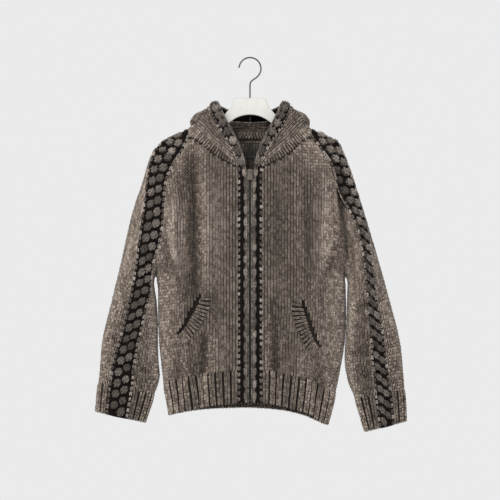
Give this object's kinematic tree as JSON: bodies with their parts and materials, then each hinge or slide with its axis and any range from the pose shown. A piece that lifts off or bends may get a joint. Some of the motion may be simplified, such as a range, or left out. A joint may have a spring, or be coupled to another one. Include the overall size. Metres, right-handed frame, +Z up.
{
  "type": "knit zip-up hoodie on a hanger",
  "caption": "Chunky knit zip-up hoodie with bobbled contrast strips on its sleeves, hanging open-necked on a flat hanger with a wire hook.",
  "frame": {"origin": "crown of the hook's inner side, where the rail holds the hanger", "axes": "+Z up along the hanger's shank, -Y out of the garment's front, +X towards the wearer's left sleeve"},
  "size_m": [0.7084, 0.2302, 0.861],
  "materials": {
    "yarn": "chunky marled grey-brown wool knit",
    "contrast": "dark brown knit with grey-brown bobbles and chains",
    "tape": "dark woven tape and lining cloth",
    "label": "black woven label, bare",
    "hanger": "satin white, bare",
    "steel": "dark nickel wire",
    "zip_metal": "antique zip metal"
  },
  "bodies": {
    "garment": {"front_right": "yarn", "front_left": "yarn", "back": "yarn", "hem_front_right": "yarn", "hem_front_left": "yarn", "hem_back": "yarn", "sleeve_right": "yarn", "sleeve_left": "yarn", "cuff_right": "yarn", "cuff_left": "yarn", "strip_right": "contrast", "strip_left": "contrast", "band_right": "contrast", "band_left": "contrast", "neck_rib": "yarn", "hood_right": "yarn", "hood_left": "yarn", "hood_trim_right": "contrast", "hood_trim_left": "contrast", "pocket_welt_right": "yarn", "pocket_welt_left": "yarn", "pocket_bag_right": "tape", "pocket_bag_left": "tape", "zip_tape_right": "tape", "zip_tape_left": "tape", "zip_slider": "zip_metal", "neck_label": "label", "hanger_body": "hanger", "hook": "steel"},
    "pull": {"zip_pull": "zip_metal"}
  },
  "joints": [
    {"name": "pull_hinge", "type": "hinge", "parent": "garment", "child": "pull", "pos_m": [0, -0.0925, -0.263], "axis": [-1, 0, 0], "range_deg": [0, 150]}
  ]
}
